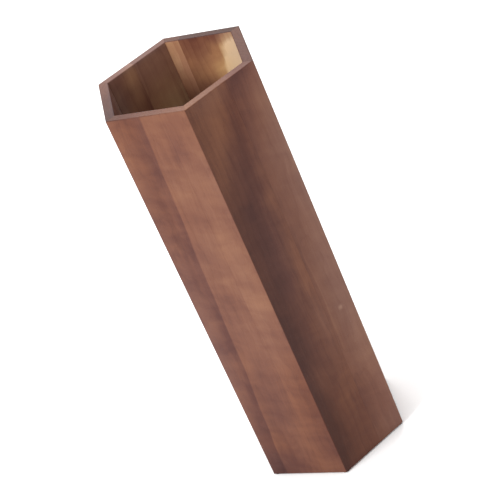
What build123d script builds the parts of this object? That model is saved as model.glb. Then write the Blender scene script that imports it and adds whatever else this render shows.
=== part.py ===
from build123d import *
from math import cos, radians, sin, tan
import os

# Umbrella stand: a hexagonal tube of mitred wooden panels, with a base board, a drip tray that lifts out and
# floor pads.
# Millimetres. +Z is up, the origin is on the floor under the middle of the tube, and -Y is the front corner.

# Driving dimensions of the tube
side = 93.5  # one side of the hexagon, between its outer corners
stave_length = 500.0
wall = 10.5  # thickness of the staves
corner_radius = 1.0  # rounding of the upright outer corners
rim_radius = 0.9  # rounding of the long edges at the rim and at the foot

# Corners, anticlockwise from the front one, seen from above
corner_names = ("front", "front_right", "back_right", "back", "back_left", "front_left")

# Panels in the same order, from the one right of the front corner. Each is glued up from two staves. Its
# value is the distance of their joint to the right of the panel's middle, seen from outside.
joint_offsets = {
    "front_right": 9.0,
    "right": -7.0,
    "back_right": 24.0,
    "back_left": 4.0,
    "left": -14.0,
    "front_left": 17.0,
}

# Base board, and the groove that holds it
base_thickness = 9.0
base_height = 12.0  # from the foot of the staves to the underside of the board
groove_depth = 4.0
base_play = 0.2  # room round the board and above it in its groove

# Splines across the mitres
spline_thickness = 3.0
spline_width = 7.0
spline_inset = 2.5  # along the mitre from the inner corner to the spline
spline_rim_distance = 30.0  # from the rim down to the splines
spline_base_distance = 20.0  # from the base board up to the splines
spline_play = 0.1  # room on each side of a spline in its slot
spline_chamfer = 0.5

# Floor pads
pad_diameter = 8.0
pad_height = 1.5
pad_chamfer = 0.3

# Drip tray
tray_height = 26.0
tray_wall = 1.6
tray_gap = 1.5  # between the flange and the panels
tray_flange = 3.5  # how far the flange stands out past the tray's side
tray_draft = 3.0  # slope of the tray's sides, in degrees
tray_corner_radius = 9.0
tray_foot_radius = 2.5
flange_edge_radius = 0.5
rib_width = 3.0
rib_height = 1.4
rib_middle_distance = 19.0  # from the tray's middle to the ribs
rib_corner_distance = 19.0  # from the ribs to the tray's inner corners

# Sizes that follow from those
sides = len(corner_names)
panel_turn = 360 / sides  # the angle that one panel spans
half_turn = panel_turn / 2
apothem = side * cos(radians(half_turn))
inner_apothem = apothem - wall
wall_foot = pad_height
wall_top = wall_foot + stave_length
base_underside = wall_foot + base_height
base_top = base_underside + base_thickness
groove_apothem = inner_apothem + groove_depth
mitre_middle = (apothem + inner_apothem) / 2 / cos(radians(half_turn))
spline_middle = inner_apothem / cos(radians(half_turn)) + spline_inset + spline_thickness / 2
spline_foot = base_top + spline_base_distance
spline_length = wall_top - spline_rim_distance - spline_foot
draft_slope = tan(radians(tray_draft))
flange_apothem = inner_apothem - tray_gap
tray_foot_apothem = flange_apothem - tray_flange - tray_height * draft_slope
hollow_apothem = tray_foot_apothem - tray_wall + tray_wall * draft_slope
rib_length = hollow_apothem / cos(radians(half_turn)) - rib_middle_distance - rib_corner_distance

# Directions of the corners and of the panels' outer faces, in degrees from +X
front_angle = -90
corner_angles = {corner: front_angle + panel_turn * place for place, corner in enumerate(corner_names)}
panel_angles = {panel: front_angle + panel_turn * (place + 0.5) for place, panel in enumerate(joint_offsets)}


def direction(angle):
    """The level unit vector at an angle from +X."""
    return Vector(cos(radians(angle)), sin(radians(angle)), 0)


def save(piece, name):
    """Labels a finished piece and writes it under the same name."""
    piece.label = name
    export_step(piece, f"parts/{name}.step")


os.makedirs("parts", exist_ok=True)

# The whole tube, with the groove for the base board and the slots for the splines
with BuildPart() as tube:
    with BuildSketch(Plane.XY.offset(wall_foot)) as tube_section:
        RegularPolygon(side, sides, rotation=half_turn)
        fillet(tube_section.vertices(), corner_radius)
        RegularPolygon(inner_apothem, sides, major_radius=False, rotation=half_turn, mode=Mode.SUBTRACT)
    extrude(amount=stave_length)
    fillet(tube.faces().filter_by(Axis.Z).edges(), rim_radius)
    with BuildSketch(Plane.XY.offset(base_underside)):
        RegularPolygon(groove_apothem, sides, major_radius=False, rotation=half_turn)
    extrude(amount=base_thickness + base_play, mode=Mode.SUBTRACT)
    with BuildSketch(Plane.XY.offset(spline_foot - spline_play)):
        with PolarLocations(spline_middle, sides, start_angle=half_turn):
            Rectangle(spline_thickness + 2 * spline_play, spline_width + 2 * spline_play)
    extrude(amount=spline_length + 2 * spline_play, mode=Mode.SUBTRACT)

# Staves: the tube cut along the mitres at its corners and along the glue joint in each panel
for panel, face_angle in panel_angles.items():
    outward = direction(face_angle)
    rightward = direction(face_angle + 90)
    left_mitre = Plane.XZ.rotated((0, 0, face_angle - half_turn))
    right_mitre = Plane.XZ.rotated((0, 0, face_angle + half_turn))
    glue_joint = Plane(rightward * joint_offsets[panel], x_dir=outward, z_dir=rightward)
    for stave_side, kept in (("left", Keep.BOTTOM), ("right", Keep.TOP)):
        with BuildPart() as stave:
            add(tube.part)
            split(bisect_by=left_mitre, keep=Keep.BOTTOM)
            split(bisect_by=right_mitre, keep=Keep.TOP)
            split(bisect_by=glue_joint, keep=kept)
        save(stave.part, f"{panel}_panel_{stave_side}_stave")

# Splines: one in the slots of each mitre
for corner, angle in corner_angles.items():
    with BuildPart() as spline:
        with BuildSketch(Plane.XY.offset(spline_foot)):
            with PolarLocations(spline_middle, 1, start_angle=angle):
                Rectangle(spline_thickness, spline_width)
        extrude(amount=spline_length)
        chamfer(spline.faces().filter_by(Axis.Z).edges(), spline_chamfer)
    save(spline.part, f"{corner}_corner_spline")

# Base board, resting on the lower side of its groove
with BuildPart() as base_board:
    with BuildSketch(Plane.XY.offset(base_underside)):
        RegularPolygon(groove_apothem - base_play, sides, major_radius=False, rotation=half_turn)
    extrude(amount=base_thickness)
save(base_board.part, "base_board")

# Floor pads: one under each mitre
for corner, angle in corner_angles.items():
    with BuildPart() as floor_pad:
        with BuildSketch():
            with PolarLocations(mitre_middle, 1, start_angle=angle):
                Circle(pad_diameter / 2)
        extrude(amount=pad_height)
        chamfer(floor_pad.edges().sort_by(Axis.Z)[0], pad_chamfer)
    save(floor_pad.part, f"{corner}_floor_pad")

# Drip tray: a hexagonal pan with sloping sides, a flange to lift it by and low ribs under the umbrella tips
with BuildPart() as drip_tray:
    with BuildSketch(Plane.XY.offset(base_top)) as tray_foot:
        RegularPolygon(tray_foot_apothem, sides, major_radius=False, rotation=half_turn)
        fillet(tray_foot.vertices(), tray_corner_radius)
    extrude(amount=tray_height, taper=-tray_draft)
    fillet(drip_tray.faces().sort_by(Axis.Z)[0].edges(), tray_foot_radius)
    with BuildSketch(Plane.XY.offset(base_top + tray_height - tray_wall)) as flange:
        RegularPolygon(flange_apothem, sides, major_radius=False, rotation=half_turn)
        fillet(flange.vertices(), tray_corner_radius + tray_flange)
    extrude(amount=tray_wall)
    flange_rim = drip_tray.faces().sort_by(Axis.Z)[-1].edges()
    fillet(flange_rim, flange_edge_radius)
    with BuildSketch(Plane.XY.offset(base_top + tray_wall)) as hollow:
        RegularPolygon(hollow_apothem, sides, major_radius=False, rotation=half_turn)
        fillet(hollow.vertices(), tray_corner_radius - tray_wall)
    extrude(amount=tray_height, taper=-tray_draft, mode=Mode.SUBTRACT)
    with BuildSketch(Plane.XY.offset(base_top + tray_wall)):
        with PolarLocations(rib_middle_distance + rib_length / 2, sides, start_angle=half_turn):
            SlotOverall(rib_length, rib_width)
    extrude(amount=rib_height)
save(drip_tray.part, "drip_tray")
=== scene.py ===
from math import cos, radians, sin, tan
from typing import NamedTuple

import bpy
from mathutils import Matrix, Vector


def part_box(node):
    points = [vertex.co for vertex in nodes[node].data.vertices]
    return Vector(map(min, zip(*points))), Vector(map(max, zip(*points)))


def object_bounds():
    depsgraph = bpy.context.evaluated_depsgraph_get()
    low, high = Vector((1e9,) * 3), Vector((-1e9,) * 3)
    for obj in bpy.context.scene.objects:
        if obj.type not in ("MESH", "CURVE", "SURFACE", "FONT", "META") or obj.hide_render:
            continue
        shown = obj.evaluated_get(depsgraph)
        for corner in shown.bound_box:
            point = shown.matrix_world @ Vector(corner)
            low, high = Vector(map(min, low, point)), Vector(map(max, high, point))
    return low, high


# Looks of the umbrella stand, in metres and degrees, in the CAD model's frame: +Z up, -Y to the front corner.

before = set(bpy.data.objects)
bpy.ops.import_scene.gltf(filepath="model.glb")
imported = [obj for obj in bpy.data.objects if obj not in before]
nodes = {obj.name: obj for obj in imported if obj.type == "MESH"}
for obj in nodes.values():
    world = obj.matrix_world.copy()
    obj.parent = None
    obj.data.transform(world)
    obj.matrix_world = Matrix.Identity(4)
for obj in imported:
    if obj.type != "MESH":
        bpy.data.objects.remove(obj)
cad_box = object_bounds()

# Camera, fitted to the corners of the rim and the foot in the photograph
camera_target = Vector((-0.0026, -0.0002, 0.2684))
camera_distance = 1.855
camera_azimuth = 3.26
camera_elevation = 30.89
camera_roll = 24.09
lens_length = 120.6  # in millimetres, like the sensor's width
sensor_width = 36.0

# Studio
floor_reach = 12.0
floor_tone = 0.99
floor_roughness = 0.9
world_strength = 0.95
light_target = Vector((0.0, 0.0, 0.4))


class SoftBox(NamedTuple):
    """A square light that faces the stand. Its azimuth is counted from +X, and its power is in watts."""
    azimuth: float
    elevation: float
    distance: float
    size: float
    power: float


soft_boxes = {
    "key_light": SoftBox(azimuth=211, elevation=30, distance=2.2, size=0.9, power=42),
    "back_light": SoftBox(azimuth=88, elevation=42, distance=2.6, size=1.8, power=40),
}

# Sizes of the tube, read from the frame
apothem = cad_box[1].x
inner_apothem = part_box("right_panel_left_stave")[0].x
wall_middle = (apothem + inner_apothem) / 2
wall_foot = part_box("right_panel_left_stave")[0].z
wall_top = cad_box[1].z

# Directions of the panels' outer faces, from +X
panel_angles = {
    "front_right": -60,
    "right": 0,
    "back_right": 60,
    "back_left": 120,
    "left": 180,
    "front_left": 240,
}
corner_slope = tan(radians(180 / len(panel_angles)))  # half a panel's width at one metre from the axis


class Grain(NamedTuple):
    """Smooth noise in a material: the size of its grain along each axis, how finely it breaks up, its shift.

    Limits turn it into spots: 0 where the noise is under the first limit, 1 where it is over the second.
    """
    size: tuple
    detail: float = 2.0
    shift: float = 0.0
    limits: tuple = ()


noise_roughness = 0.55  # how strong the finer noise is in all grains

# Wood of the staves. The sizes of its grain are outward, across and up. Some of it runs straight up the
# stave, and some follows the fibres as they wave.
straight_grains = {
    "sway": Grain((0.05, 0.05, 0.12)),
    "ripple": Grain((0.03, 0.03, 0.05), shift=0.6),
    "cut_pore": Grain((0.0006, 0.0006, 0.0006), detail=1.0),
}
waved_grains = {
    "fibre": Grain((0.0009, 0.0009, 0.05), detail=3.0),
    "strand": Grain((0.006, 0.006, 0.14), detail=3.0),
    "pore": Grain((0.0004, 0.0004, 0.006), detail=1.0, limits=(0.24, 0.42)),
    "cloud": Grain((0.03, 0.035, 0.08), detail=3.0),
    "curl": Grain((0.03, 0.035, 0.014), shift=0.3),
    "drift": Grain((0.04, 0.05, 0.12), shift=0.9),
}
board_shift = 1.7  # from the noise of one board to that of the next
wave_slant = 0.2  # fall of the waves per metre to the right
ring_width = 0.0052
foot_shade_top = 0.2  # height under which a stave gets darker
foot_warmth_top = 0.25  # height under which it gets warmer
rim_warmth_depth = 0.1  # distance from the rim within which it gets warmer
end_limits = (0.25, 0.75)  # how level a surface is where end grain starts, and where it is full

# Distances from a line at which a darker edge starts, and at which it is full
rim_edge_limits = (0.0016, 0.0004)
# for the darkened mitres and foot edge: a dark joint line and painted shade on the rounded edges
joint_and_edge_shade_limits = (0.0010, 0.0003)
glue_limits = (0.0004, 0.0001)

# Tones of the stained wood, from its darkest streaks to pale sapwood
wood_tones = {
    0.0: (0.050, 0.017, 0.012),
    0.17: (0.088, 0.032, 0.022),
    0.33: (0.150, 0.060, 0.037),
    0.5: (0.215, 0.097, 0.060),
    0.67: (0.310, 0.155, 0.092),
    0.83: (0.430, 0.255, 0.150),
    1.0: (0.650, 0.465, 0.325),
}
warm_tint = (0.05, -0.02, -0.16)  # change of red, green and blue with one unit of warmth
pale_green = 0.3  # change of green with one unit of figure
pale_limit = 0.1  # figure over which the green rises no further

# Plywood of the base board
plywood_grains = {
    "sway": Grain((0.09, 0.03, 0.03)),
    "fibre": Grain((0.03, 0.0008, 0.0008), detail=3.0),
    "pore": Grain((0.005, 0.0004, 0.0004), detail=1.0, limits=(0.24, 0.42)),
}
veneer_line_width = 0.007
ply_pair_thickness = 0.0026  # of a pale and a dark ply
ply_limits = (0.2, 0.3)  # shares of that, from the pale ply's middle to where the dark one starts and is full
ply_edge_limits = (0.7, 0.3)  # how level a surface is where the plies start to show, and where they are full

# Beech of the splines
beech_grains = {
    "fibre": Grain((0.0007, 0.0007, 0.03), detail=3.0),
    "cloud": Grain((0.01, 0.01, 0.08)),
    "fleck": Grain((0.0004, 0.0004, 0.0025), detail=1.0, shift=0.4, limits=(0.22, 0.36)),
}

# Plastic of the drip tray, with its colours from bare plastic to where it is worn and filmed over
tray_grains = {
    "sparks": Grain((0.0004, 0.0004, 0.0004)),
    "flow": Grain((0.04, 0.04, 0.02)),
    "film": Grain((0.018, 0.018, 0.018), detail=4.0, shift=0.7, limits=(0.0, 0.35)),
}
scratch_grains = {
    "scratch": Grain((0.02, 0.0005, 0.0005), detail=1.0, limits=(0.3, 0.42)),
}
scratch_turn = 35
tray_colours = {
    0.0: (0.042, 0.029, 0.021),
    0.5: (0.066, 0.048, 0.037),
    1.0: (0.150, 0.125, 0.105),
}

# Rubber of the floor pads, with its colours from bare to dusty
rubber_grains = {
    "crumb": Grain((0.0003, 0.0003, 0.0003), detail=3.0),
    "dust": Grain((0.003, 0.003, 0.003), detail=4.0, limits=(-0.1, 0.4)),
}
rubber_colours = {
    0.0: (0.014, 0.014, 0.014),
    1.0: (0.060, 0.056, 0.052),
}


class Streak(NamedTuple):
    """A change of tone that is full along a line and fades out on both sides of it.

    Top and bottom are where the line meets the rim and the foot: across the panel from its middle, to the
    right seen from outside. Bow bends it to the right, most of all halfway: there by a quarter of its value.
    """
    top: float
    bottom: float
    left_fade: float
    right_fade: float
    change: float
    bow: float = 0.0


class Patch(NamedTuple):
    """A spot of another tone and warmth: its place across the panel and up from the foot, and its reach.

    Fade is the share of that reach over which the change comes up.
    """
    across: float
    up: float
    half_width: float
    half_height: float
    change: float = 0.0
    warmth: float = 0.0
    fade: float = 1.0


class StaveLook(NamedTuple):
    """The wood of one stave. Staves of the same board share its figure, which runs on across their joint.

    The heart of the tree is a line: how far outward and across it is at the floor, and its lean those two
    ways per metre of height. Curl is how strong the wavy figure is, and rings how strong the yearly rings.
    End tone is that of the end grain, which takes the stain in another way. Warmth turns the colour from
    grey-brown to orange-brown. Each rise is a change per metre to the right. Inner patches are only in the
    inner half of the wall.
    """
    board: int
    tone: float
    rise: float
    heart: tuple
    lean: tuple
    curl: float
    end_tone: float
    end_rise: float = 0.0
    rings: float = 1.0
    warmth: float = 0.0
    warm_rise: float = 0.0
    streaks: tuple = ()
    patches: tuple = ()
    inner_patches: tuple = ()


# Figure, painted shade, painted sheen and painted bounce light that run on across the joint of a panel's
# staves
front_left_blotches = (
    Patch(across=0.021, up=0.455, half_width=0.016, half_height=0.03, change=-0.07),
    Patch(across=0.019, up=0.335, half_width=0.024, half_height=0.07, change=0.07),
    Patch(across=0.035, up=0.10, half_width=0.05, half_height=0.10, warmth=0.7),
)
# Painted shade: a dark band across the front-right panel, from the top down to its lower left.
front_right_shade_streaks = (
    Streak(top=0.020, bottom=-0.118, left_fade=0.022, right_fade=0.035, change=-0.05, bow=-0.03),
    Streak(top=0.014, bottom=-0.054, left_fade=0.014, right_fade=0.035, change=-0.06, bow=-0.06),
)
front_right_blotches = (
    Patch(across=0.018, up=0.065, half_width=0.045, half_height=0.06, change=-0.10, warmth=0.5),
    Patch(across=0.008, up=0.455, half_width=0.03, half_height=0.06, warmth=0.6),
    Patch(across=0.022, up=0.0, half_width=0.045, half_height=0.05, warmth=-0.7),
)
# Painted sheen: the back-left panel's rim greyed as if it reflected a bright light.
back_left_rim_sheen = Patch(across=0.0, up=0.505, half_width=0.1, half_height=0.012, warmth=-2.2)
# Painted bounce light: the back-left panel's inner faces lighter and warmer deep in the tube.
back_left_inside_bounce = Patch(across=-0.01, up=0.43, half_width=0.07, half_height=0.07, change=0.07, warmth=0.6)
# Painted sheen: the left panel's inner faces greyed, as seen at a grazing angle, and a painted highlight high
# up near a corner.
left_inside_sheen = (
    Patch(across=0.0, up=0.45, half_width=0.08, half_height=0.2, change=-0.01, warmth=-1.5),
    Patch(across=-0.036, up=0.464, half_width=0.03, half_height=0.045, change=0.2, warmth=-1.8),
)

stave_looks = {
    "front_left_panel_left_stave": StaveLook(
        board=0, tone=0.34, rise=0.6, heart=(0.02, -0.045), lean=(0, 0.03), curl=1.0,
        end_tone=0.29, end_rise=2.5, rings=0.5,
        streaks=(
            Streak(top=-0.0075, bottom=-0.030, left_fade=0.06, right_fade=0.002, change=-0.10),
            Streak(top=-0.0075, bottom=-0.030, left_fade=0.010, right_fade=0.001, change=-0.03),
        ),
        patches=(
            *front_left_blotches,
            Patch(across=0.011, up=0.444, half_width=0.03, half_height=0.013, change=-0.07),
            Patch(across=0.004, up=0.400, half_width=0.04, half_height=0.022, change=0.06),
            Patch(across=0.004, up=0.286, half_width=0.03, half_height=0.008, change=0.06),
            Patch(across=-0.003, up=0.258, half_width=0.022, half_height=0.016, change=-0.06),
            Patch(across=-0.010, up=0.222, half_width=0.022, half_height=0.035, change=-0.07),
            Patch(across=-0.022, up=0.168, half_width=0.022, half_height=0.028, change=0.09),
            Patch(across=-0.036, up=0.222, half_width=0.018, half_height=0.040, change=0.06),
            Patch(across=-0.002, up=0.125, half_width=0.035, half_height=0.085, change=-0.08),
            Patch(across=-0.047, up=0.43, half_width=0.03, half_height=0.14, change=0.09),
            Patch(across=-0.025, up=0.40, half_width=0.025, half_height=0.14, warmth=0.8),
            Patch(across=-0.050, up=0.19, half_width=0.03, half_height=0.21, change=0.07, warmth=-1.5),
            Patch(across=-0.042, up=0.10, half_width=0.03, half_height=0.08, change=0.05),
            Patch(across=-0.026, up=0.495, half_width=0.025, half_height=0.04, warmth=0.8),
            Patch(across=-0.018, up=0.045, half_width=0.03, half_height=0.04, warmth=0.7),
            Patch(across=-0.025, up=0.0, half_width=0.065, half_height=0.12, change=-0.15, warmth=-0.2),
            Patch(across=-0.028, up=0.045, half_width=0.032, half_height=0.026, change=0.06),
        ),
    ),
    "front_left_panel_right_stave": StaveLook(
        board=0, tone=0.355, rise=0.0, heart=(0.03, 0.06), lean=(0, -0.02), curl=1.0,
        end_tone=0.29, end_rise=2.5, rings=0.5,
        patches=(
            *front_left_blotches,
            Patch(across=0.033, up=0.332, half_width=0.03, half_height=0.05, change=0.05),
            Patch(across=0.028, up=0.254, half_width=0.03, half_height=0.05, change=0.08),
            Patch(across=0.034, up=0.390, half_width=0.026, half_height=0.018, change=0.06),
            Patch(across=0.029, up=0.296, half_width=0.016, half_height=0.018, change=0.06),
            Patch(across=0.034, up=0.046, half_width=0.030, half_height=0.024, change=-0.06),
            Patch(across=0.050, up=0.09, half_width=0.04, half_height=0.16, change=-0.14, warmth=0.9),
        ),
    ),
    # The front-right staves grow lighter towards the panel's right edge through their steep rise, and the
    # right stave greyer there through its warm rise: painted sheen.
    "front_right_panel_left_stave": StaveLook(
        board=2, tone=0.27, rise=4.2, heart=(0.01, 0.03), lean=(0, 0.02), curl=0.6,
        end_tone=0.40, end_rise=-2.0, rings=0.5, warmth=0.25,
        streaks=(
            *front_right_shade_streaks,
            # Painted light: the upper left of the front-right panel made lighter, left of a line that slants
            # down to the left.
            Streak(top=-0.010, bottom=-0.11, left_fade=0.3, right_fade=0.024, change=0.15, bow=-0.12),
        ),
        patches=(
            *front_right_blotches,
            Patch(across=-0.045, up=0.30, half_width=0.035, half_height=0.08, change=0.09),
            Patch(across=-0.028, up=0.360, half_width=0.012, half_height=0.022, change=-0.06, warmth=-0.5),
            Patch(across=0.0, up=0.357, half_width=0.014, half_height=0.022, change=0.08),
            Patch(across=-0.019, up=0.262, half_width=0.020, half_height=0.022, change=-0.06),
            Patch(across=-0.018, up=0.500, half_width=0.040, half_height=0.035, warmth=-1.0),
            Patch(across=-0.030, up=0.128, half_width=0.016, half_height=0.045, change=0.08),
            Patch(across=-0.022, up=0.008, half_width=0.034, half_height=0.022, change=0.05),
            Patch(across=-0.055, up=0.12, half_width=0.05, half_height=0.26, change=-0.04),
            Patch(across=-0.015, up=0.29, half_width=0.03, half_height=0.12, warmth=-0.7),
            Patch(across=-0.028, up=0.07, half_width=0.05, half_height=0.09, warmth=0.8),
            Patch(across=0.004, up=0.19, half_width=0.015, half_height=0.06, warmth=-1.0),
            Patch(across=0.001, up=0.22, half_width=0.003, half_height=0.09, change=0.05),
        ),
    ),
    "front_right_panel_right_stave": StaveLook(
        board=3, tone=0.265, rise=4.4, heart=(0.12, 0.02), lean=(0, -0.01), curl=0.6,
        end_tone=0.40, end_rise=-2.5, rings=0.5, warmth=0.1, warm_rise=-24.0,
        streaks=front_right_shade_streaks,
        patches=(
            *front_right_blotches,
            Patch(across=0.0295, up=0.188, half_width=0.005, half_height=0.005, change=0.2, warmth=-1.0),
            Patch(across=0.036, up=0.500, half_width=0.05, half_height=0.04, change=-0.10),
            Patch(across=0.030, up=0.20, half_width=0.035, half_height=0.08, change=0.05, warmth=-0.4),
            Patch(across=0.046, up=0.39, half_width=0.014, half_height=0.10, change=0.05),
            Patch(across=0.014, up=0.20, half_width=0.003, half_height=0.14, change=0.06),
            Patch(across=0.045, up=0.34, half_width=0.04, half_height=0.12, warmth=-0.5),
        ),
    ),
    "back_right_panel_left_stave": StaveLook(
        board=4, tone=0.47, rise=-1.0, heart=(0.03, -0.012), lean=(0.05, 0.01), curl=1.2,
        end_tone=0.04, warmth=0.3,
        inner_patches=(
            Patch(across=-0.036, up=0.30, half_width=0.055, half_height=0.35, change=0.25, warmth=-0.5),
            Patch(
                across=-0.042, up=0.32, half_width=0.031, half_height=0.32,
                change=0.4, warmth=-1.7, fade=0.4,
            ),
            Patch(across=0.004, up=0.505, half_width=0.028, half_height=0.035, change=-0.22),
            Patch(across=-0.018, up=0.452, half_width=0.030, half_height=0.06, change=0.20),
            Patch(across=0.002, up=0.458, half_width=0.04, half_height=0.025, change=0.13),
            Patch(across=-0.032, up=0.505, half_width=0.035, half_height=0.022, change=-0.32),
            Patch(across=-0.020, up=0.497, half_width=0.012, half_height=0.028, change=-0.1),
        ),
    ),
    "back_right_panel_right_stave": StaveLook(
        board=5, tone=0.71, rise=0.0, heart=(0.0, -0.03), lean=(0, 0.02), curl=0.6,
        end_tone=0.20,
        inner_patches=(
            Patch(across=0.036, up=0.425, half_width=0.03, half_height=0.05, change=-0.1, warmth=0.8),
        ),
    ),
    "back_left_panel_left_stave": StaveLook(
        board=6, tone=0.53, rise=-1.0, heart=(0.035, -0.02), lean=(-0.05, 0.01), curl=0.8,
        end_tone=0.40, warmth=-1.0,
        patches=(back_left_rim_sheen,),
        inner_patches=(
            back_left_inside_bounce,
            # Painted bounce light: a lighter patch deep inside.
            Patch(across=-0.020, up=0.42, half_width=0.05, half_height=0.06, change=0.20),
        ),
    ),
    "back_left_panel_right_stave": StaveLook(
        board=7, tone=0.45, rise=0.0, heart=(0.12, 0.02), lean=(-0.03, -0.02), curl=0.8,
        end_tone=0.59, end_rise=-5.0, warmth=-1.0,
        patches=(back_left_rim_sheen,),
        inner_patches=(
            back_left_inside_bounce,
            Patch(across=0.040, up=0.463, half_width=0.02, half_height=0.05, change=0.10, warmth=-1.5),
            Patch(across=0.013, up=0.490, half_width=0.018, half_height=0.045, change=0.22),
            Patch(across=0.004, up=0.44, half_width=0.006, half_height=0.05, change=-0.12),
            # Painted bounce light: a lighter patch deep inside.
            Patch(across=0.025, up=0.44, half_width=0.03, half_height=0.05, change=0.10),
        ),
    ),
    # The left staves' low warmth greys their faces, partly standing in for painted sheen on their inner
    # faces.
    "left_panel_left_stave": StaveLook(
        board=8, tone=0.47, rise=1.0, heart=(0.035, -0.03), lean=(0.05, 0.01), curl=0.8,
        end_tone=0.20, end_rise=-3.5, warmth=-0.9,
        inner_patches=left_inside_sheen,
    ),
    "left_panel_right_stave": StaveLook(
        board=9, tone=0.40, rise=-1.0, heart=(0.03, 0.016), lean=(-0.06, 0.015), curl=0.9,
        end_tone=0.20, end_rise=-3.5, warmth=-0.9,
        streaks=(
            Streak(top=0.025, bottom=0.01, left_fade=0.004, right_fade=0.03, change=-0.12),
        ),
        inner_patches=left_inside_sheen,
    ),
    "right_panel_left_stave": StaveLook(
        board=10, tone=0.42, rise=-1.5, heart=(0.03, -0.03), lean=(0.055, -0.01), curl=0.8,
        end_tone=0.19, warmth=0.1,
        streaks=(
            Streak(top=-0.03, bottom=-0.02, left_fade=0.02, right_fade=0.004, change=-0.1),
        ),
    ),
    "right_panel_right_stave": StaveLook(
        board=11, tone=0.36, rise=1.0, heart=(0.11, 0.03), lean=(0.04, 0.02), curl=0.8,
        end_tone=0.20, warmth=0.1,
    ),
}


class Wire:
    """A value on its way through a material's nodes. It adds up and multiplies like a plain number."""

    def __init__(self, graph, socket):
        self.graph = graph
        self.socket = socket

    def __add__(self, other):
        return self.graph.math("ADD", self, other)

    def __radd__(self, other):
        return self.graph.math("ADD", other, self)

    def __sub__(self, other):
        return self.graph.math("SUBTRACT", self, other)

    def __rsub__(self, other):
        return self.graph.math("SUBTRACT", other, self)

    def __mul__(self, other):
        return self.graph.math("MULTIPLY", self, other)

    def __truediv__(self, other):
        return self.graph.math("DIVIDE", self, other)

    def __abs__(self):
        return self.graph.math("ABSOLUTE", self)


class Graph:
    """A new material's nodes. Most methods add a step and give back what comes out of it."""

    def __init__(self, name):
        self.material = bpy.data.materials.new(name)
        self.material.use_nodes = True
        self.tree = self.material.node_tree
        self.shader = self.tree.nodes["Principled BSDF"]

    def feed(self, socket, value):
        """Links a wire to a socket, or sets the socket to a plain value."""
        if isinstance(value, Wire):
            self.tree.links.new(value.socket, socket)
        else:
            socket.default_value = value

    def add(self, kind, inputs, **settings):
        """Adds a node with these settings and inputs."""
        node = self.tree.nodes.new("ShaderNode" + kind)
        for setting, value in settings.items():
            setattr(node, setting, value)
        for socket, value in inputs.items():
            self.feed(node.inputs[socket], value)
        return node

    def out(self, node, socket=0):
        """What comes out of one of a node's sockets."""
        return Wire(self, node.outputs[socket])

    def math(self, operation, *values):
        """What an operation makes of these wires and plain numbers."""
        return self.out(self.add("Math", dict(enumerate(values)), operation=operation))

    def split(self, vector):
        """The three parts of a vector."""
        parts = self.add("SeparateXYZ", {0: vector})
        return tuple(self.out(parts, axis) for axis in range(3))

    def join(self, parts):
        """The vector of three parts."""
        return self.out(self.add("CombineXYZ", dict(enumerate(parts))))

    def distance(self, first, second):
        """The distance that two offsets at right angles come to."""
        return self.math("SQRT", first * first + second * second)

    def place(self, turn=0.0):
        """Where a point is on its piece, as three wires, with the piece turned about the vertical first."""
        whole = self.out(self.add("TexCoord", {}), "Object")
        turned = self.add("VectorRotate", {"Vector": whole, "Angle": radians(turn)}, rotation_type="Z_AXIS")
        return self.split(self.out(turned))

    def level(self):
        """How level the surface is: 0 where it is upright, 1 where it faces straight up or down."""
        normal = self.out(self.add("NewGeometry", {}), "Normal")
        return abs(self.split(normal)[2])

    def noise(self, place, grain, seed=0.0):
        """The noise of a grain: about 0, from -1 to 1 at most, or spots from 0 to 1 where it has limits."""
        where = self.join([(wire + (seed + grain.shift)) / size for wire, size in zip(place, grain.size)])
        inputs = {"Vector": where, "Scale": 1.0, "Detail": grain.detail, "Roughness": noise_roughness}
        made = (self.out(self.add("TexNoise", inputs), "Fac") - 0.5) * 2.0
        return self.step(made, *grain.limits) if grain.limits else made

    def noises(self, place, grains, seed=0.0):
        """The noise of each of these grains, by name."""
        return {name: self.noise(place, grain, seed) for name, grain in grains.items()}

    def step(self, value, start, end):
        """Rises smoothly from 0 to 1 as the value goes from start to end."""
        made = self.add(
            "MapRange",
            {"Value": value, "From Min": start, "From Max": end},
            interpolation_type="SMOOTHSTEP",
        )
        return self.out(made)

    def colours(self, value, stops):
        """The colour of a value, between stops that are given as {value: colour}."""
        made = self.add("ValToRGB", {0: value})
        ramp = made.color_ramp
        while len(ramp.elements) < len(stops):
            ramp.elements.new(0.5)
        for element, (position, colour) in zip(ramp.elements, sorted(stops.items())):
            element.position = position
            element.color = (*colour, 1)
        return self.out(made)

    def dress(self, colour, roughness, relief, depth, specular):
        """Sends the colour, the roughness and a relief of a depth in metres to the shader."""
        self.feed(self.shader.inputs["Base Color"], colour)
        self.feed(self.shader.inputs["Roughness"], roughness)
        self.shader.inputs["Specular IOR Level"].default_value = specular
        bump = self.add("Bump", {"Height": relief, "Distance": depth, "Strength": 1.0})
        self.feed(self.shader.inputs["Normal"], self.out(bump))
        return self.material


def blend(traits, start, **shares):
    """Start, plus each of the named traits times its share."""
    total = start
    for trait, share in shares.items():
        total = total + traits[trait] * share
    return total


def late_wood(graph, look, place, traits):
    """The dark end of each yearly ring round the heart of the tree: 1 where a year ends."""
    outward, across, up = place
    out_of_heart = blend(traits, outward, sway=-0.004) - (look.heart[0] + up * look.lean[0])
    off_heart = blend(traits, across, sway=-0.008) - (look.heart[1] + up * look.lean[1])
    radius = graph.distance(out_of_heart, off_heart)
    year = graph.math("FRACT", blend(traits, radius / ring_width, ripple=0.8))
    return year * year * year


def rim_edge(graph, place):
    """How near a place is to the edges of the rim: 1 on them."""
    outward, _, up = place
    under_face = apothem - outward
    under_inner_face = outward - inner_apothem
    under_rim = wall_top - up
    outer_rim = graph.math("MAXIMUM", under_face, under_rim)
    inner_rim = graph.math("MAXIMUM", under_inner_face, under_rim)
    return graph.step(graph.math("MINIMUM", outer_rim, inner_rim), *rim_edge_limits)


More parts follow.
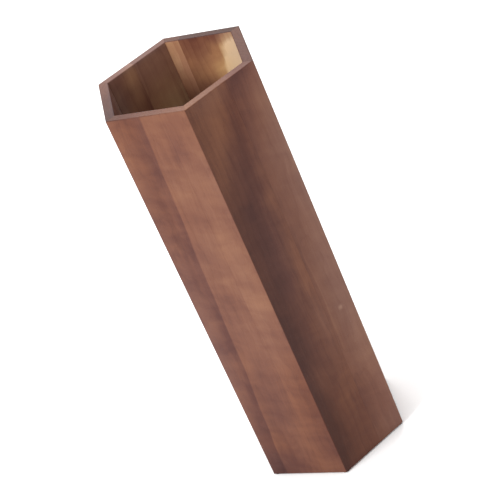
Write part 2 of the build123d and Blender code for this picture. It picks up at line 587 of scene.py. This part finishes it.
def edge_stain(graph, place):
    """How near a place is to the mitres and to the outer edge of the foot: 1 on them. The darkening there is
    partly a dark mitre joint and partly painted shade on the rounded edges.
    """
    outward, across, up = place
    from_mitre = outward * corner_slope - abs(across)
    over_foot = up - wall_foot
    outer_foot = graph.math("MAXIMUM", apothem - outward, over_foot)
    return graph.step(graph.math("MINIMUM", from_mitre, outer_foot), *joint_and_edge_shade_limits)


def glue_line(graph, place, panel):
    """How near a place is to the glue joint between the two staves of its panel: 1 on it."""
    _, across, _ = place
    rightward = Matrix.Rotation(radians(panel_angles[panel]), 3, "Z") @ Vector((0, 1, 0))
    left_stave = nodes[panel + "_panel_left_stave"].data
    joint = max(vertex.co.dot(rightward) for vertex in left_stave.vertices)
    return graph.step(abs(across - joint), *glue_limits)


def stave_traits(graph, look, place, panel):
    """The traits of a stave's wood at a place on it, by name: its grain, its edges, its foot and its rim."""
    outward, across, up = place
    seed = look.board * board_shift
    traits = graph.noises(place, straight_grains, seed)
    waved_across = blend(traits, across, sway=0.012)
    waved_up = blend(traits, up, ripple=0.012) + across * wave_slant
    traits.update(graph.noises((outward, waved_across, waved_up), waved_grains, seed))
    traits["late_wood"] = late_wood(graph, look, place, traits)
    traits["end_grain"] = graph.step(graph.level(), *end_limits)
    traits["rim_edge"] = rim_edge(graph, place)
    traits["edge_stain"] = edge_stain(graph, place)
    traits["glue_line"] = glue_line(graph, place, panel)
    traits["foot_shade"] = graph.step(up, foot_shade_top, 0.0)
    traits["foot_warmth"] = graph.step(up, foot_warmth_top, 0.0)
    traits["rim_warmth"] = graph.step(up, wall_top - rim_warmth_depth, wall_top)
    return traits


def streak_share(graph, streak, across, up):
    """How much of a streak is in a place on its panel, from 0 to 1."""
    fall = (wall_top - up) / (wall_top - wall_foot)
    line = streak.top + fall * (streak.bottom - streak.top) + fall * (1.0 - fall) * streak.bow
    gap = across - line
    away = graph.math("MAXIMUM", gap / streak.right_fade, gap / -streak.left_fade)
    return graph.step(away, 1.0, 0.0)


def patch_share(graph, patch, across, up):
    """How much of a patch is in a place on its panel, from 0 to 1."""
    sideways = (across - patch.across) / patch.half_width
    upwards = (up - wall_foot - patch.up) / patch.half_height
    return graph.step(graph.distance(sideways, upwards), 1.0, 1.0 - patch.fade)


def stave_figure_and_painted_light(graph, look, place, traits):
    """The change of tone from a stave's clouds, curl, streaks and patches, and the warmth of its colour. Some
    streaks and patches are painted shade, painted sheen and painted bounce light.
    """
    outward, across, up = place
    drawn = blend(traits, across, sway=0.004)
    frayed = blend(traits, drawn, strand=0.005, fibre=0.002)
    inside = graph.step(outward, wall_middle, inner_apothem)
    spots = [(patch, patch_share(graph, patch, frayed, up)) for patch in look.patches]
    spots += [(patch, patch_share(graph, patch, frayed, up) * inside) for patch in look.inner_patches]
    figure = blend(traits, 0.0, cloud=0.10, curl=0.09 * look.curl)
    warmth = look.warmth + across * look.warm_rise
    for streak in look.streaks:
        figure = figure + streak_share(graph, streak, drawn, up) * streak.change
    for patch, share in spots:
        figure = figure + share * patch.change
        warmth = warmth + share * patch.warmth
    return figure, warmth


def stave_tone(look, place, traits):
    """The tone of a stave: that of its sides or its end grain, changed along its edges and its glue joint."""
    _, across, _ = place
    side = look.tone + across * look.rise + traits["figure"]
    side = blend(
        traits, side, foot_shade=-0.03, strand=0.05, fibre=0.05, late_wood=-0.06 * look.rings, pore=-0.05
    )
    end = look.end_tone + across * look.end_rise
    end = blend(traits, end, cloud=0.06, late_wood=-0.06, cut_pore=0.08)
    plain = side + (end - side) * traits["end_grain"]
    edge = traits["rim_edge"] * blend(traits, -0.04, fibre=0.06)
    # The mitres and the foot's edge are darkened: a dark joint line and painted shade on the rounded edges.
    return blend(traits, plain + edge, edge_stain=-0.06, glue_line=-0.06)


def stained(graph, tone, warmth, figure):
    """The colour of stained wood of this tone and warmth. Dark figure is redder, and pale figure yellower."""
    red, green, blue = (1.0 + warmth * change for change in warm_tint)
    green = green + graph.math("MINIMUM", figure, pale_limit) * pale_green
    inputs = {0: graph.colours(tone, wood_tones), 1: graph.join((red, green, blue))}
    return graph.out(graph.add("VectorMath", inputs, operation="MULTIPLY"))


def stave_wood(stave):
    """Stained hardwood for one stave: rings round a heart line, fibres, pores, curl, figure and end grain."""
    look = stave_looks[stave]
    panel = stave.split("_panel_")[0]
    graph = Graph(stave + "_wood")
    place = graph.place(turn=-panel_angles[panel])
    traits = stave_traits(graph, look, place, panel)
    traits["figure"], warmth = stave_figure_and_painted_light(graph, look, place, traits)
    warmth = blend(traits, warmth, drift=0.7, figure=3.0, foot_warmth=0.5, rim_warmth=0.5)
    colour = stained(graph, stave_tone(look, place, traits), warmth, traits["figure"])
    roughness = blend(traits, 0.46, fibre=0.08, end_grain=0.06, curl=-0.05)
    relief = blend(traits, 0.0, fibre=0.5, pore=-0.6, late_wood=-0.15)
    return graph.dress(colour, roughness, relief, depth=0.0001, specular=0.15)


def plywood():
    """Brown-stained plywood for the base board: cut veneer on its faces, plies on its edge."""
    graph = Graph("base_board_plywood")
    place = graph.place()
    _, across, up = place
    traits = graph.noises(place, plywood_grains)
    line = graph.math("FRACT", blend(traits, across / veneer_line_width, sway=2.5))
    traits["line"] = line * line
    ply = graph.step(abs(graph.math("FRACT", up / ply_pair_thickness) - 0.5), *ply_limits)
    traits["ply"] = graph.step(graph.level(), *ply_edge_limits) * ply
    tone = blend(traits, 0.52, sway=0.08, fibre=0.08, line=-0.06, pore=-0.06, ply=-0.18)
    roughness = blend(traits, 0.6, fibre=0.1)
    relief = blend(traits, 0.0, fibre=0.5, pore=-0.6, ply=-0.5)
    return graph.dress(graph.colours(tone, wood_tones), roughness, relief, depth=0.0001, specular=0.2)


def spline_wood():
    """Pale bare beech, with its short dark flecks, for the splines in the corner joints."""
    graph = Graph("spline_beech")
    traits = graph.noises(graph.place(), beech_grains)
    tone = blend(traits, 0.86, cloud=0.10, fibre=0.08, fleck=-0.12)
    roughness = blend(traits, 0.65, fibre=0.1)
    relief = traits["fibre"] - traits["fleck"]
    return graph.dress(graph.colours(tone, wood_tones), roughness, relief, depth=0.00008, specular=0.2)


def tray_plastic():
    """Dark brown moulded plastic for the drip tray: fine texture, scratches and a film of dried water."""
    graph = Graph("tray_plastic")
    traits = graph.noises(graph.place(), tray_grains)
    traits.update(graph.noises(graph.place(turn=scratch_turn), scratch_grains))
    worn = blend(traits, 0.0, film=0.35, scratch=0.25, flow=0.15, sparks=0.15)
    roughness = blend(traits, 0.48, sparks=0.12, film=0.14)
    relief = blend(traits, traits["sparks"], scratch=-0.5)
    return graph.dress(graph.colours(worn, tray_colours), roughness, relief, depth=0.00004, specular=0.45)


def pad_rubber():
    """Black rubber for the floor pads, greyed by dust."""
    graph = Graph("pad_rubber")
    traits = graph.noises(graph.place(), rubber_grains)
    colour = graph.colours(traits["dust"], rubber_colours)
    roughness = blend(traits, 0.75, crumb=0.15)
    return graph.dress(colour, roughness, traits["crumb"], depth=0.00005, specular=0.3)


def link(made):
    """Puts a new object into the scene."""
    bpy.context.scene.collection.objects.link(made)
    return made


def place_camera():
    """Makes the camera at the photograph's viewing angle and tilt."""
    lens = bpy.data.cameras.new("photo_camera")
    lens.lens = lens_length
    lens.sensor_width = sensor_width
    camera = link(bpy.data.objects.new("photo_camera", lens))
    swing = Matrix.Rotation(radians(camera_azimuth), 4, "Z")
    tilt = Matrix.Rotation(radians(90 - camera_elevation), 4, "X")
    roll = Matrix.Rotation(radians(-camera_roll), 4, "Z")
    back = Matrix.Translation((0, 0, camera_distance))
    camera.matrix_world = Matrix.Translation(camera_target) @ swing @ tilt @ roll @ back
    bpy.context.scene.camera = camera


def hang_soft_box(name, box):
    """Hangs a soft box that the camera doesn't see."""
    light = bpy.data.lights.new(name, "AREA")
    light.shape = "SQUARE"
    light.size = box.size
    light.energy = box.power
    lamp = link(bpy.data.objects.new(name, light))
    level = cos(radians(box.elevation))
    azimuth = radians(box.azimuth)
    outward = Vector((cos(azimuth) * level, sin(azimuth) * level, sin(radians(box.elevation))))
    lamp.location = light_target + outward * box.distance
    lamp.rotation_euler = outward.to_track_quat("Z", "Y").to_euler()
    lamp.visible_camera = False


def light_studio():
    """Lights the stand with soft boxes in a pale room."""
    for name, box in soft_boxes.items():
        hang_soft_box(name, box)
    world = bpy.data.worlds.new("pale_room")
    world.use_nodes = True
    backdrop = world.node_tree.nodes["Background"]
    backdrop.inputs["Color"].default_value = (1, 1, 1, 1)
    backdrop.inputs["Strength"].default_value = world_strength
    bpy.context.scene.world = world
    bpy.context.scene.view_settings.view_transform = "Standard"


def lay_floor():
    """Lays a plain pale floor under the stand."""
    signs = ((-1, -1), (1, -1), (1, 1), (-1, 1))
    corners = [(x * floor_reach, y * floor_reach, 0) for x, y in signs]
    mesh = bpy.data.meshes.new("floor")
    mesh.from_pydata(corners, [], [(0, 1, 2, 3)])
    floor = link(bpy.data.objects.new("floor", mesh))
    pale = bpy.data.materials.new("floor_paint")
    pale.use_nodes = True
    shader = pale.node_tree.nodes["Principled BSDF"]
    shader.inputs["Base Color"].default_value = (floor_tone, floor_tone, floor_tone, 1)
    shader.inputs["Roughness"].default_value = floor_roughness
    mesh.materials.append(pale)


def paint(node, material):
    """Gives a CAD node one material."""
    for slot in nodes[node].material_slots:
        slot.material = material


place_camera()
light_studio()
lay_floor()
for stave in stave_looks:
    paint(stave, stave_wood(stave))
beech = spline_wood()
rubber = pad_rubber()
for node in nodes:
    if node.endswith("_corner_spline"):
        paint(node, beech)
    if node.endswith("_floor_pad"):
        paint(node, rubber)
paint("base_board", plywood())
paint("drip_tray", tray_plastic())
